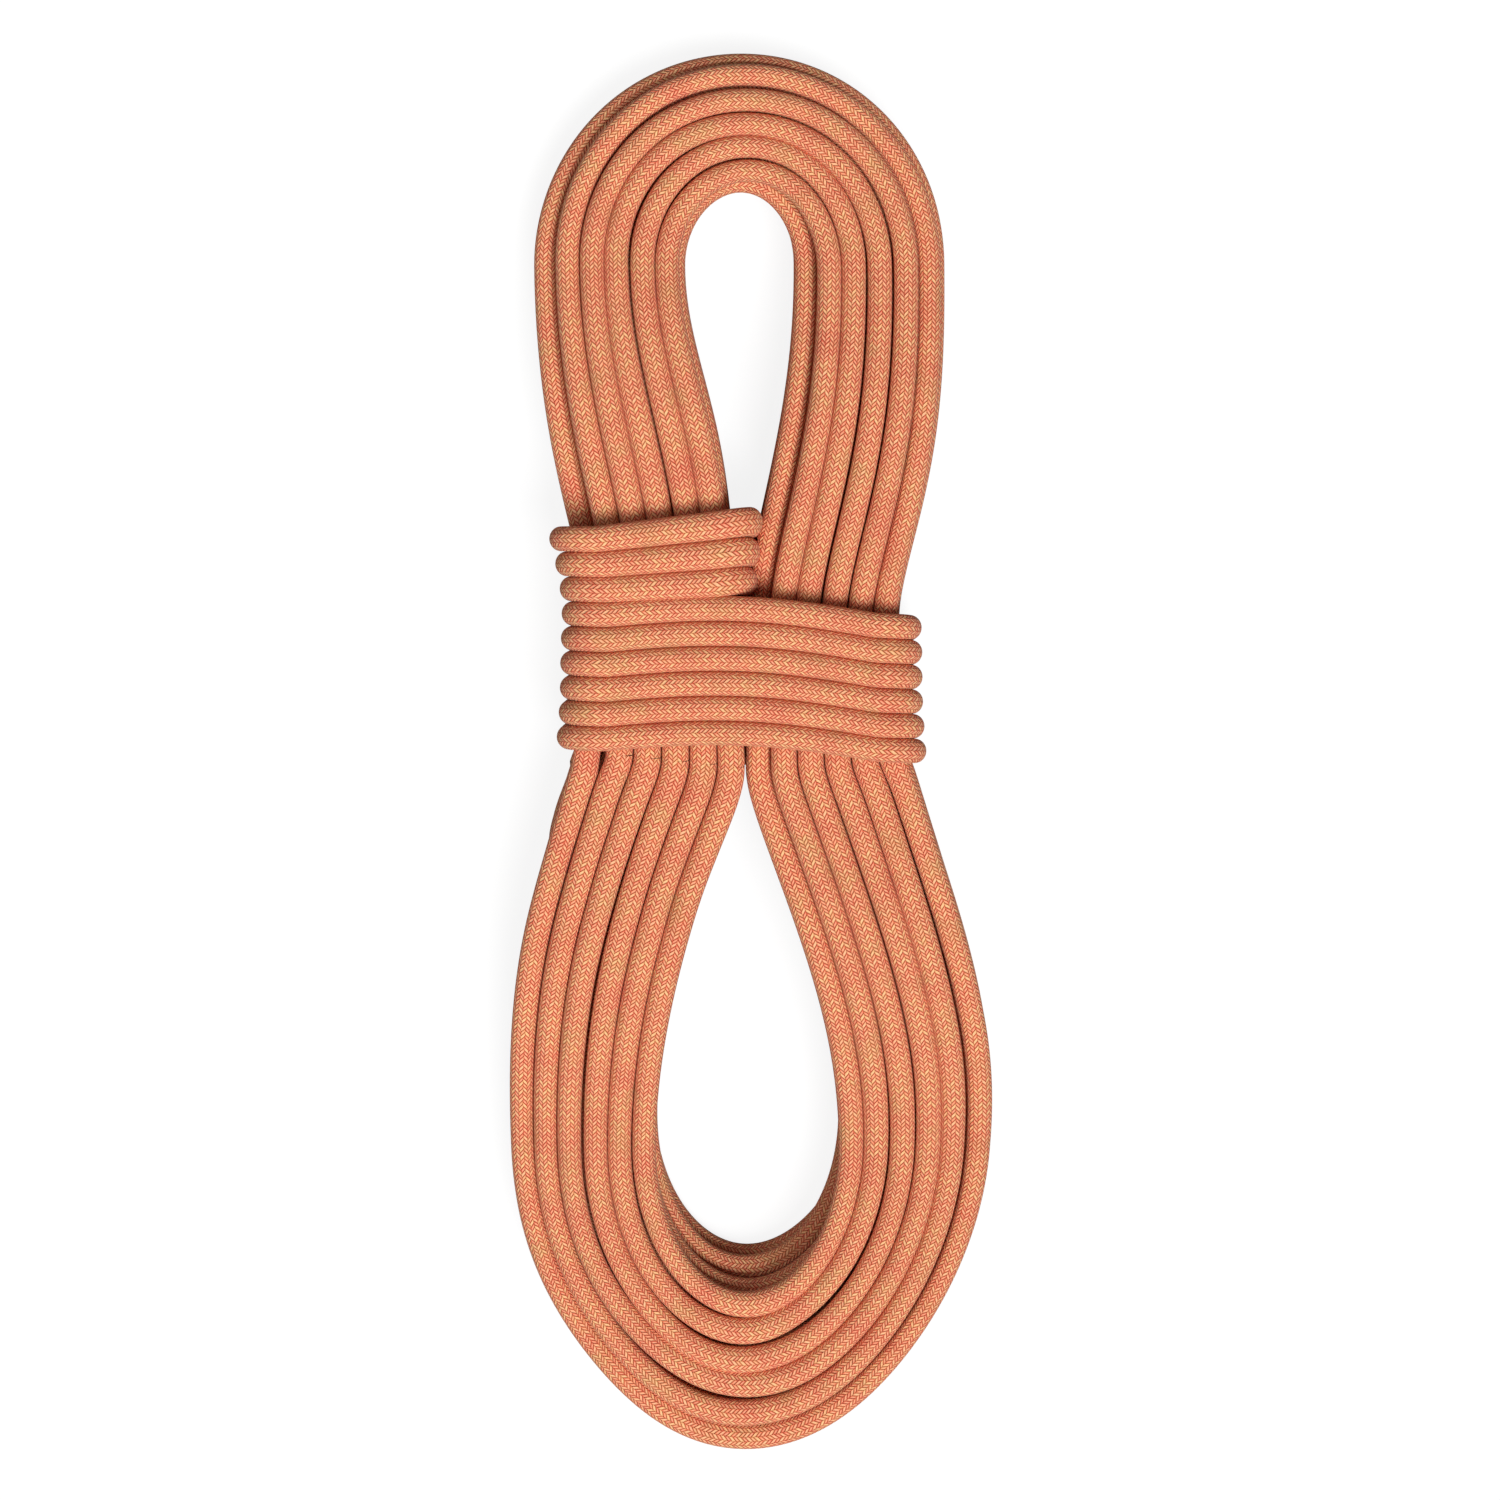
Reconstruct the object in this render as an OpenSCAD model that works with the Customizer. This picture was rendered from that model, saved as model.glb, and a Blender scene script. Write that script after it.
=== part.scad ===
// Dynamic climbing rope, tied up as a hank with wraps round its waist. Millimetres, +Z up.
// The hank lies flat: X runs across it, Y along it from the bottom bend to the top bend.
// The rope is one length: free end, hank loops, link, wraps, tail, free end.

/* [Rope] */
// Diameter of the rope
rope_d = 9.5; // [9:0.1:10]
// Wall of the woven sheath round the core
sheath_wall = 1.1; // [0.8:0.1:1.4]
// Strands in the inner ring of the core
core_inner = 3; // [3:1:3]
// Strands in the outer ring of the core
core_outer = 9; // [6:1:9]
// Play left round each core strand
core_play = 0.05; // [0.02:0.01:0.15]
// Length of each free end, from the last bend to the fused tip
end_len = 26; // [20:1:28]
// Length of the fused tip
tip_len = 4; // [3:0.5:6]

/* [Hank] */
// Gap between neighbouring loops
loop_gap = 0.65; // [0.65:0.05:1]
// Half-width of the innermost loop at the top bend
top_half = 24; // [22:0.5:27]
// Rise of the innermost loop above the centre of the top bend
top_rise = 27; // [24:0.5:32]
// From the waist up to the centre of the top bend
upper_run = 202; // [195:1:230]
// Half-width of the innermost loop at the waist
waist_half = 5.5; // [5.5:0.1:8]
// From the waist up to where the legs begin to part
waist_len = 40; // [30:1:44]
// From the waist down to the centre of the bottom bend
lower_run = 155; // [150:1:180]
// Half-width of the innermost loop at the bottom bend
bottom_half = 40.5; // [36:0.5:46]
// Fall of the innermost loop below the centre of the bottom bend
bottom_fall = 63.5; // [60:0.5:70]
// How far each layer lies above the one in front of it at the bottom bend
layer_slip = 5; // [0:0.1:5.5]

/* [Wraps] */
// Wraps round both legs
both_leg_wraps = 6; // [4:1:6]
// Wraps round the left leg alone
one_leg_wraps = 3; // [1:1:3]
// Height of the first wrap above the waist
first_wrap = 4; // [3:0.5:8]
// From the outer loops to the middle of the wraps, front and back
wrap_front = 13.3; // [13.2:0.1:15]
// From the outer loops to the middle of the wraps, at the outer sides
wrap_side = 14; // [13.8:0.1:15.5]
// From the loops to the middle of the wraps, inside the top eye
wrap_eye = 13.9; // [13.7:0.1:14.2]
// How much further to the right each one-leg wrap reaches than the one below it
wrap_fan = 2.2; // [1.5:0.1:2.4]
// Rise of the one-leg wraps across the leg, as a share of its width
wrap_tilt = 0.15; // [0.1:0.01:0.16]
// How far the two-leg wraps bow up in the middle of the front
wrap_bow = 4; // [0:0.5:5]
// How far a wrap leans down towards the back, as a share of its depth
wrap_lean = 0.13; // [0:0.01:0.15]

/* [Hidden] */

rope_color = [0.88, 0.53, 0.37];
wrap_color = [0.85, 0.55, 0.37];
core_color = [0.94, 0.93, 0.9];
tip_color = [0.55, 0.27, 0.2];

// The hank has 4 layers of 5.5 loops; n counts loops from the bottom bend, the first layer in front.
layers = 4;
layer_loops = 5.5;
first_turn = layer_loops - 0.25;
start_n = -0.25;
end_n = layers * layer_loops - 0.25;
loop_rings = 24;
coil_sides = 6;
free_sides = 8;
pitch = rope_d + loop_gap;
// A tenth of the rope is cut away where it lies on the ground
ground_z = 0.4 * rope_d;
// The loops stand wider apart in the waist and at the lowest point, and spread on the way to the bends
waist_spread = 0.02;
bottom_spread = 0.16;
upper_flare = 0.04;
lower_flare = 0.09;
// How gently the legs part above and below the waist
upper_parting = 0.2;
lower_parting = 0.1;
// Length, up and down, over which a leg's slope is taken
slope_span = 20;
// Height of the ring between the waist and the top bend
upper_ring = 0.4 * upper_run;
// The legs lie over the wraps between these heights below and above the waist
raised_below = 60;
raised_above = 140;
// Corner bend of a wrap, and the shares of a turn that its eight stretches take, with their ring counts
wrap_bend = 1.75 * rope_d;
wrap_marks = [0, 0.3, 0.3625, 0.4375, 0.5, 0.8, 0.8625, 0.9375, 1];
wrap_steps = [2, 4, 1, 4, 2, 4, 1, 4];
wrap_count = both_leg_wraps + one_leg_wraps;
wrap_from = 0.12;
wrap_to = wrap_count + 0.08;
// Outermost and innermost loops of the legs at the waist, in pitches out from the innermost loop
left_out = 5.5;
right_out = 5;
left_in = 0.5;
// How far the last loop runs on past the waist, as a share of the step to its next ring
run_on = 0.3;
// The link's bends, in rope diameters from the end of the hank, with the share of the way down
// to the ground, and then in rope diameters from the start of the wraps
link_turn = [
    [-1, -2.3, 0.2], [-1.35, -3.5, 0.6], [-1.1, -4.7, 0.93], [-0.1, -5.7, 1],
    [1.2, -6.1, 1], [2.3, -5.6, 1], [2.8, -4.5, 1]
];
link_join = [[-3.1, -4, 0], [-3.1, -2.2, 0], [-2.8, -1.1, 0], [-2, -0.3, 0]];
// The tail's way from the wraps, in rope diameters along and up
tail_way = [[0.4, 0.02], [0.8, 0.09], [1.2, 0.11]];

function unit(v) = v / norm(v);
function share(s) = min(1, max(0, s));
function ease(s) = let (t = share(s)) t * t * (3 - 2 * t);
function middle(v) = (min(v) + max(v)) / 2;

// Innermost loop: half-widths of the legs at height y from the waist, and their slopes
function part(s, gentle) =
    let (t = max(0, s), q = (sqrt(t * t + gentle * gentle) - gentle) / (sqrt(1 + gentle * gentle) - gentle))
    sin(90 * min(1, q));
function leg_half(y) =
    y > 0
        ? waist_half + (top_half - waist_half) * part((y - waist_len) / (upper_run - waist_len), upper_parting)
        : waist_half + (bottom_half - waist_half) * part(-y / lower_run, lower_parting);
function leg_slope(y) =
    let (span = max(0.5, min(slope_span, y + lower_run, upper_run - y)))
    (leg_half(y + span) - leg_half(y - span)) / (2 * span);

// Point of an ellipse whose outward direction leans turn degrees from the Y axis
function bend(half, rise, turn) =
    [half * half * sin(turn), rise * rise * cos(turn)]
    / sqrt(pow(half * sin(turn), 2) + pow(rise * cos(turn), 2));

// Innermost loop, right half, at ring k of 12 from the bottom: place and outward direction
function half_loop(k) =
    k < 4 ? let (turn = 22.5 * k, p = bend(bottom_half, bottom_fall, turn))
        [p[0], -lower_run - p[1], sin(turn), -cos(turn)]
    : k > 8 ? let (turn = 22.5 * (12 - k), p = bend(top_half, top_rise, turn))
        [p[0], upper_run + p[1], sin(turn), cos(turn)]
    : let (
        y = k < 6 ? lower_run * (k - 6) / 2
            : k < 7 ? upper_ring * (k - 6)
            : upper_ring + (upper_run - upper_ring) * (k - 7),
        out = unit([1, -leg_slope(y)])
    )
        [leg_half(y), y, out[0], out[1]];
function inner_loop(n) =
    let (k = ((n + layers) * loop_rings) % loop_rings)
    k <= loop_rings / 2
        ? half_loop(k)
        : let (p = half_loop(loop_rings - k)) [-p[0], p[1], -p[2], p[3]];

// The spiral runs in and out again at a steady rate; it climbs a layer along the leg where it reverses
function loops_out(n) =
    let (q = (n - first_turn + 2 * layer_loops) % (2 * layer_loops))
    q <= layer_loops ? q : 2 * layer_loops - q;
function layer(n) =
    ease((n - first_turn) * 6 + 0.5)
    + ease((n - first_turn - layer_loops) * 6 + 0.5)
    + ease((n - first_turn - 2 * layer_loops) * 6 + 0.5);
function spread(y) =
    let (low = share(-y / lower_run), high = share((y - waist_len) / (upper_run - waist_len)))
    1 + waist_spread * (1 - ease(low + high))
    + lower_flare * pow(sin(180 * low), 2)
    + upper_flare * pow(sin(180 * high), 2);
function raised(y) =
    wrap_front * ease((y + lower_run) / (lower_run - raised_below))
    * (1 - ease((y - raised_above) / (upper_run + top_rise - raised_above)));
function hank_point(n) =
    let (
        p = inner_loop(n),
        lowest = bottom_spread * pow(max(0, -p[3]), 2),
        out = loops_out(n) * pitch * (spread(p[1]) + lowest),
        slip = layer_slip * (1 - ease((p[1] + lower_run) / lower_run)) * (layer(n) - (layers - 1) / 2)
    )
    [
        p[0] + p[2] * out,
        p[1] + p[3] * out + slip,
        ground_z + (layers - 1 - layer(n)) * pitch + raised(p[1])
    ];

// Where the loop that lies a number of pitches out crosses height y on the right leg
function leg_edge(y, loops) =
    let (
        lower = y + leg_slope(y) * loops * pitch,
        slope = leg_slope(lower)
    )
    leg_half(lower) + loops * pitch * spread(lower) / sqrt(1 + slope * slope);

// The wraps wind up from the bottom: along the back to the right, up the right side, back along the front
function stretch_of(f, i = 0) = i == 7 || f < wrap_marks[i + 1] - 1e-9 ? i : stretch_of(f, i + 1);
function wrap_point(n) =
    let (
        turn = floor(n + 1e-9),
        f = n - turn,
        i = stretch_of(f),
        t = (f - wrap_marks[i]) / (wrap_marks[i + 1] - wrap_marks[i]),
        y = first_wrap + pitch * n,
        tilt = turn < both_leg_wraps ? 0 : wrap_tilt,
        bow = turn < both_leg_wraps && i == 4 ? wrap_bow * sin(180 * t) : 0,
        left = -leg_edge(y, left_out) - wrap_side,
        right = turn < both_leg_wraps
            ? leg_edge(y, right_out) + wrap_side
            : wrap_eye - leg_edge(y + wrap_tilt * layer_loops * pitch, left_in)
                + wrap_fan * (turn - both_leg_wraps),
        low = ground_z,
        high = ground_z + 2 * wrap_front + (layers - 1) * pitch,
        half_deep = (high - low) / 2,
        x0 = left + wrap_bend,
        x1 = right - wrap_bend,
        z0 = low + wrap_bend,
        z1 = high - wrap_bend,
        c = wrap_bend * cos(90 * t),
        s = wrap_bend * sin(90 * t),
        p = [
            [x0 + (x1 - x0) * t, low], [x1 + s, z0 - c], [right, z0 + (z1 - z0) * t], [x1 + c, z1 + s],
            [x1 + (x0 - x1) * t, high], [x0 - s, z1 + c], [left, z1 + (z0 - z1) * t], [x0 - c, z0 - s]
        ][i]
    )
    [p[0], y + tilt * (p[0] - left) + bow + wrap_lean * (p[1] - low - half_deep), p[1]];

// Rings of the hank, with a straight stretch of rope before the first and after the last
hank_loop_points = [for (i = [start_n * loop_rings : end_n * loop_rings]) hank_point(i / loop_rings)];
start_way = unit(hank_point(start_n - 1 / loop_rings) - hank_point(start_n));
last_ring = hank_point(end_n);
hank_points = concat(
    [hank_loop_points[0] + 1.2 * rope_d * start_way],
    hank_loop_points,
    [last_ring + run_on * (hank_point(end_n + 1 / loop_rings) - last_ring)]
);
hank_end = hank_points[len(hank_points) - 1];
hank_end_way = unit(hank_end - hank_points[len(hank_points) - 2]);

// Rings of the wraps
wrap_turn_marks = [
    for (i = [0 : 7], k = [0 : wrap_steps[i] - 1])
        wrap_marks[i] + (wrap_marks[i + 1] - wrap_marks[i]) * k / wrap_steps[i]
];
wrap_points = concat(
    [wrap_point(wrap_from)],
    [for (turn = [0 : wrap_count - 1], f = wrap_turn_marks) if (turn + f > wrap_from) wrap_point(turn + f)],
    [wrap_point(wrap_count), wrap_point(wrap_to)]
);
wrap_start = wrap_points[0];
wrap_start_way = unit(wrap_points[1] - wrap_start);
wrap_end = wrap_points[len(wrap_points) - 1];
wrap_end_way = unit(wrap_end - wrap_points[len(wrap_points) - 2]);

// Free stretches
link_points = concat(
    [hank_end, hank_end + rope_d * hank_end_way],
    [
        for (p = link_turn)
            hank_end + [rope_d * p[0], rope_d * p[1], p[2] * (ground_z - hank_end[2])]
    ],
    [for (p = link_join) wrap_start + rope_d * p],
    [wrap_start - rope_d * wrap_start_way, wrap_start]
);
tail_points = concat(
    [wrap_end],
    [for (p = tail_way) wrap_end + rope_d * (p[0] * wrap_end_way + [0, 0, p[1]])]
);
tail_end = tail_points[len(tail_points) - 1];

// The origin is under the middle of the hank
place = [
    -middle([for (p = hank_points) p[0]]),
    -middle([for (p = hank_points) p[1]]),
    0
];

// Least gap of a tube to itself: the points of its middle line, split finer, past the nearest stretch
gap_parts = 4;
function finer(points) = [
    for (i = [0 : len(points) - 2], j = [0 : gap_parts - 1])
        points[i] + (points[i + 1] - points[i]) * j / gap_parts
];
function least_gap(points, skip) =
    let (fine = finer(points), last = len(fine) - 1)
    min([
        for (i = [0 : last - skip * gap_parts])
            min([for (j = [i + skip * gap_parts : last]) norm(fine[i] - fine[j])])
    ]) - rope_d;

// A tube of flat faces along points. Its sides are laid out round the axis up, and the ground cuts it flat.
function ring_way(points, i) =
    unit(points[min(i + 1, len(points) - 1)] - points[max(i - 1, 0)]);
module tube(points, sides, up, lean) {
    rings = len(points);
    vertices = [
        for (i = [0 : rings - 1])
            let (
                way = ring_way(points, i),
                side = unit(cross(way, up)),
                top = cross(side, way)
            )
            for (k = [0 : sides - 1])
                let (
                    a = 360 * k / sides + lean,
                    v = points[i] + rope_d / 2 * (cos(a) * side + sin(a) * top)
                )
                [v[0], v[1], max(0, v[2])]
    ];
    walls = [
        for (i = [0 : rings - 2], k = [0 : sides - 1])
            let (
                a = i * sides + k,
                b = i * sides + (k + 1) % sides
            )
            each [[a, b, b + sides], [a, b + sides, a + sides]]
    ];
    last = (rings - 1) * sides;
    caps = [
        for (k = [1 : sides - 2])
            each [[0, k + 1, k], [last, last + k, last + k + 1]]
    ];
    translate(place)
        polyhedron(vertices, concat(walls, caps));
}

// Puts a shape that is made along +Z at a point, along a direction
module along(point, way) {
    translate(place + point)
        rotate([0, acos(way[2]), atan2(way[1], way[0])])
            children();
}

module hank_loops() {
    echo(hank_least_gap = least_gap(hank_points, 8));
    color(rope_color)
        tube(hank_points, coil_sides, [0, 0, 1], 0);
}

module wrap_link() {
    color(rope_color)
        tube(link_points, free_sides, [0, 0, 1], 180 / free_sides);
}

module waist_wraps() {
    echo(wraps_least_gap = least_gap(wrap_points, 8));
    color(wrap_color)
        tube(wrap_points, coil_sides, [0, 1, 0], 180 / coil_sides);
}

module tail_run() {
    color(wrap_color)
        tube(tail_points, free_sides, [0, 0, 1], 180 / free_sides);
}

// Free end: the woven sheath, the core strands in it, and the tip that fuses them
core_room = rope_d - 2 * sheath_wall;
strand_pitch = core_room / (3 + 2 / sqrt(3));
strand_d = strand_pitch - core_play;
inner_ring = strand_pitch / sqrt(3);
outer_ring = inner_ring + strand_pitch;

module sheath() {
    difference() {
        cylinder(d = rope_d, h = end_len, $fn = 48);
        translate([0, 0, -1])
            cylinder(d = core_room, h = end_len + 2, $fn = 48);
    }
}

module core_ring(count, radius) {
    for (i = [0 : count - 1])
        rotate(360 * i / count)
            translate([radius, 0, 0])
                cylinder(d = strand_d, h = end_len, $fn = 24);
}

module core() {
    core_ring(core_inner, inner_ring);
    core_ring(core_outer, outer_ring);
}

module tip() {
    translate([0, 0, end_len])
        intersection() {
            cylinder(d = rope_d, h = tip_len, $fn = 48);
            translate([0, 0, tip_len - rope_d * 0.6])
                sphere(d = rope_d * 1.2, $fn = 48);
        }
}

module start_sheath() {
    color(rope_color)
        along(hank_points[0], start_way) sheath();
}

module start_core() {
    color(core_color)
        along(hank_points[0], start_way) core();
}

module start_tip() {
    color(tip_color)
        along(hank_points[0], start_way) tip();
}

tail_end_way = unit([wrap_end_way[0], wrap_end_way[1], 0]);

module tail_sheath() {
    color(wrap_color)
        along(tail_end, tail_end_way) sheath();
}

module tail_core() {
    color(core_color)
        along(tail_end, tail_end_way) core();
}

module tail_tip() {
    color(tip_color)
        along(tail_end, tail_end_way) tip();
}

hank_loops();
wrap_link();
waist_wraps();
tail_run();
start_sheath();
start_core();
start_tip();
tail_sheath();
tail_core();
tail_tip();
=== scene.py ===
import math

import bpy
import numpy as np
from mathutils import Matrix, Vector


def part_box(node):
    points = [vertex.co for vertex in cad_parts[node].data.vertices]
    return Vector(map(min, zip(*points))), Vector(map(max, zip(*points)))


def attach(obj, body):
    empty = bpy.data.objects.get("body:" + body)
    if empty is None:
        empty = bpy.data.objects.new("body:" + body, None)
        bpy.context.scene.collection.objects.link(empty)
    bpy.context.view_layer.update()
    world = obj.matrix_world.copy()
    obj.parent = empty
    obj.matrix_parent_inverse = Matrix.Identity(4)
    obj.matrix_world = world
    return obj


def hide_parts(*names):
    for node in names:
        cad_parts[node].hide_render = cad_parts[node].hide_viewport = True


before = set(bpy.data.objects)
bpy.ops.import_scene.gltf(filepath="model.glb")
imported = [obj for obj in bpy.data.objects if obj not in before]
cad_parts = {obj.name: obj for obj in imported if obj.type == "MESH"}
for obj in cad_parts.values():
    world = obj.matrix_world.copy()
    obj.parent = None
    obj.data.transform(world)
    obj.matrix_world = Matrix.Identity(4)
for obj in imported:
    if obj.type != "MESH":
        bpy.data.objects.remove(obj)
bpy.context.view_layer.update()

# Lengths are in metres, and colours as seen, from 0 to 255.
# The rope, the distance between its loops, the middle of the lowest ones, and the sheath of a free end
ROPE_D = 0.0095
LOOP_GAP = 0.00065
PITCH = ROPE_D + LOOP_GAP
GROUND_Z = 0.4 * ROPE_D
END_LEN = 0.026
# The innermost loop: half-widths and heights of its bends and waist, and runs of its legs from height 0
TOP_HALF = 0.0247
TOP_RISE = 0.031
UPPER_RUN = 0.202
WAIST_HALF = 0.0034
WAIST_LEN = 0.058
LOWER_RUN = 0.155
BOTTOM_HALF = 0.0405
BOTTOM_FALL = 0.065
# How gently the legs part, and the least and the usual half-span over which their slope is measured
UPPER_PARTING = 0.2
LOWER_PARTING = 0.08
LEAST_SPAN = 0.0005
SLOPE_SPAN = 0.02
# Where the hank's own middle lies in the frame
PLACE = np.array((0.0016, 0.0022, 0))

# Loops are counted from one bottom bend to the next; the hank starts and ends at the left leg's waist
LAYERS = 4
LAYER_LOOPS = 5.5
LOOPS = round(LAYERS * LAYER_LOOPS)
LEFT_LEG = 0.75
START_N = LEFT_LEG - 1
FIRST_TURN = START_N + LAYER_LOOPS
END_N = START_N + LOOPS
# Share of a loop in which the rope goes down to the next layer
STEP_DOWN = 1 / 6
# A loop has rings from the middle of the bottom bend over the waist to the top bend and back
LOOP_RINGS = 24
HALF_RINGS = LOOP_RINGS // 2
WAIST_RING = HALF_RINGS // 2
BEND_RINGS = 4
RING_TURN = 90 / BEND_RINGS
# Height of the ring that follows the waist's
UPPER_RING = 0.4 * UPPER_RUN

# How much further apart the loops lie, as shares of their pitch, in the bends and at the waist
BOTTOM_SPREAD = 0.16
FLANK_PINCH = 0.066
TOP_SPREAD = -0.08
LEFT_WAIST = 0.052
RIGHT_WAIST = 0.038
WAIST_MIDDLE = 0.025
STILL_SPAN = 0.06
# The same for the upper legs and the lower ones, whose flare begins under the wraps
LEFT_FLARE = 0.02
RIGHT_FLARE = 0.035
LOWER_FLARE = 0.09
FLARE_FROM = 0.035
FLARE_GROWS = 0.0665
FLARE_FADES = 0.095
LEFT_FLARE_END = -0.17
RIGHT_FLARE_END = -0.21
# The rope presses itself oval, down to these gaps between loops and between wraps
PRESSED_GAP = 0.0004
WRAP_GAP = 0.0001
# The left leg is drawn in below and above the wraps
LOW_PULL = 0.002
LOW_PULL_FROM = -0.06
LOW_PULL_SPAN = 0.11
HIGH_PULL = 0.0045
HIGH_PULL_FROM = 0.07
HIGH_PULL_SPAN = 0.13
# The hank leans to the left over the top, and to the right further down
TOP_LEAN = 0.002
TOP_LEAN_FROM = 0.1
TOP_LEAN_SPAN = 0.12
LOWER_LEAN = 0.0012
LOWER_LEAN_FROM = -0.235
LOWER_LEAN_SPAN = 0.21
# At the bottom each layer lies further up than the one over it, which fades towards the outer loops
LAYER_SLIP = 0.005
SLIP_FADE = 0.8
SLIP_LOOPS = 5
# Every other layer stands out at the waist
STAGGER = 0.0012
# The wraps under the hank hold it up, in full between these distances below and above the waist
RAISED_BELOW = 0.06
RAISED_ABOVE = 0.14
# The outer loops sag: how far, from which loop on, within how many loops, and the span the wraps hold
SAG = 0.005
SAG_FROM = 3.6
SAG_LOOPS = 1.6
HELD_SPAN = 0.09
# Small waves along the hank, each with its share, rate and start, sideways and up and down
WANDER = 0.0005
WAVES = ((0.6, 1, 0), (0.4, 1.618, 1))
SIDE_RATE = 2.37
LIFT_RATE = 1.73
LIFT_SHARE = 0.6
# Loops of the front layer that have come loose at the bottom, and how far out they stand
LOOSE_LOOPS = ((-0.035, 0.0008), (0.965, 0.0014), (2.96, 0.0012), (4.05, -0.0008))
LOOSE_SPAN = 0.045

# The wraps: turns round both legs, then turns round the left leg that slant up into the top eye
BOTH_LEG_WRAPS = 6
ONE_LEG_WRAPS = 3
WRAP_COUNT = BOTH_LEG_WRAPS + ONE_LEG_WRAPS
WRAP_FROM = 0.12
WRAP_TO = WRAP_COUNT + 0.08
# Height of the first wrap, distances between wraps and from the hank to them, and radius of their corners
FIRST_WRAP = 0.002
WRAP_PITCH = 0.0101
WRAP_FRONT = 0.0124
WRAP_SIDE = 0.0098
WRAP_BEND = 1.5 * ROPE_D
# Slope down to the right and bow of the wraps round both legs, and slope of all wraps up to the front
WRAP_FALL = 0.012
WRAP_BOW = 0.0045
WRAP_LEAN = 0.13
# Slant of the last wrap, how much less those before it have, and how far they reach into the eye
WRAP_TILT = 0.18
TILT_FAN = 0.024
WRAP_EYE = 0.009
WRAP_FAN = 0.0023
# Shares of a turn where its straights and bends meet, from the back left corner, and the front's number
WRAP_MARKS = (0, 0.3, 0.3625, 0.4375, 0.5, 0.8, 0.8625, 0.9375, 1)
FRONT = 4
TINY = 1e-9
# The loops round which the wraps go, counted out from the innermost
LEFT_OUT = 5.5
RIGHT_OUT = 5
LEFT_IN = 0.5

# Shares of a loop by which the hank begins late, after the start's end, and runs on, to the link
START_JOIN = 0.01
RUN_ON = 0.3 / LOOP_RINGS
# Bends of the link from the hank's end, in rope diameters and in the share of the way to the ground
LINK_TURN = (
    (-0.8, -2.3, 0.2), (-1.05, -3.5, 0.6), (-0.85, -4.7, 0.93), (0, -5.7, 1),
    (1.2, -6.1, 1), (2.3, -5.6, 1), (2.8, -4.5, 1),
)
# Bends of the link from the start of the wraps, in rope diameters
LINK_JOIN = ((-3.1, -4, 0), (-3.1, -2.2, 0), (-2.8, -1.1, 0), (-2, -0.3, 0))

# Fineness of the middle line, in a loop, in a wrap and between them, and of the shown rope
LOOP_STEPS = 600
WRAP_STEPS = 240
LINE_STEP = 0.0005
RING_STEP = 0.0025
SIDES = 32
# Steps back into the hank and the wraps from where other stretches join them, to join them smoothly
HANK_START_STEPS = 20
HANK_END_STEPS = 40
WRAP_START_STEPS = 6
WRAP_END_STEPS = 12
# The middle layers hardly show, so between these loops two of them make one piece
PAIRS_FROM = 6
PAIRS_TO = 16
# Margins of the flat layout, at the ends of its rows and between them, as shares of a row
END_MARGIN = 0.01
ROW_MARGIN = 0.05

# The woven sheath: floats lie in columns round the rope, leaning one way and the other by turns
BRAID_COLUMNS = 18
FLOAT_PITCH = 0.0018
FLOAT_FILL = 0.97
FLOAT_DIVE = 0.35
DIVE_POWER = 4.0
# Filaments of a float: how many across and along it, how they differ between columns, and their height
FILAMENTS_ACROSS = 9.0
FILAMENTS_ALONG = 1.2
COLUMN_SHIFT = 7.3
FILAMENT_HEIGHT = 0.3
# Keeps the colours of the yarns that lean one way apart from those that lean the other way
OTHER_WAY = 31.0
# Colours of the yarns, which are deep and pale by turns, from one share of them to the next
DEEP_YARNS = ((0.0, (242, 123, 84)), (0.45, (234, 107, 76)), (0.75, (236, 138, 88)))
PALE_YARNS = ((0.0, (255, 172, 124)), (0.45, (255, 156, 114)), (0.75, (254, 180, 122)))
# Tints over the yarns: bounds of what brings them on, weights at these bounds, and the colour
RED_STRETCHES = (0.5, 0.7, 0.0, 0.45, (232, 98, 74))
RED_SCALE = 60.0
TAN_STRETCHES = (0.52, 0.72, 0.0, 0.4, (214, 158, 96))
TAN_SCALE = 85.0
# Painted highlight: the crown of each float is tinted paler by its height, standing in for the sheen of
# light on it
PAINTED_CROWN_HIGHLIGHT = (0.95, 1.2, 0.0, 0.6, (255, 214, 170))
# Painted shade: the low places between the floats are tinted dark by their height, standing in for the
# shade in them
PAINTED_GAP_SHADE = (0.45, 0.95, 0.92, 0.0, (126, 42, 8))

# The strands of the core and the melted tips
PLY_SCALE = 180.0
PLY_DEEP = (196, 190, 180)
PLY_PALE = (246, 244, 238)
CLOT_SCALE = 420.0
CLOT_DEEP = (118, 56, 42)
CLOT_PALE = (196, 112, 82)

# The camera looks down on the hank, from a little towards its top; lens and sensor are in millimetres
CAMERA_LENS = 87.3
CAMERA_SENSOR = 36
CAMERA_TILT = math.radians(9)
CAMERA_AWAY = 1.5
CAMERA_REACH = 50
CAMERA_AIM = (0.0021, 0.0062, 0.026)

# The floor and the surroundings are white to the camera, and throw less light on the rope
WHITE = (1, 1, 1, 1)
FLOOR_SIZE = 8
FLOOR_DROP = 0.0002
FLOOR_COLOUR = (0.14, 0.14, 0.14, 1)
FLOOR_GLOW = 0.87
SKY_LEVEL = 0.13


def share(s):
    return np.clip(s, 0, 1)


def ease(s):
    """Goes smoothly from 0 to 1 as s does."""
    t = share(s)
    return t * t * (3 - 2 * t)


def swell(y, start, span):
    """Grows from 0 to 1 and back to 0 over a span."""
    return np.sin(np.pi * share((y - start) / span)) ** 2


def near(y, place, span):
    """Is 1 at a place and fades away on both sides of it."""
    return np.exp(-((y - place) / span) ** 2)


def unit(v):
    return v / np.linalg.norm(v)


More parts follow.
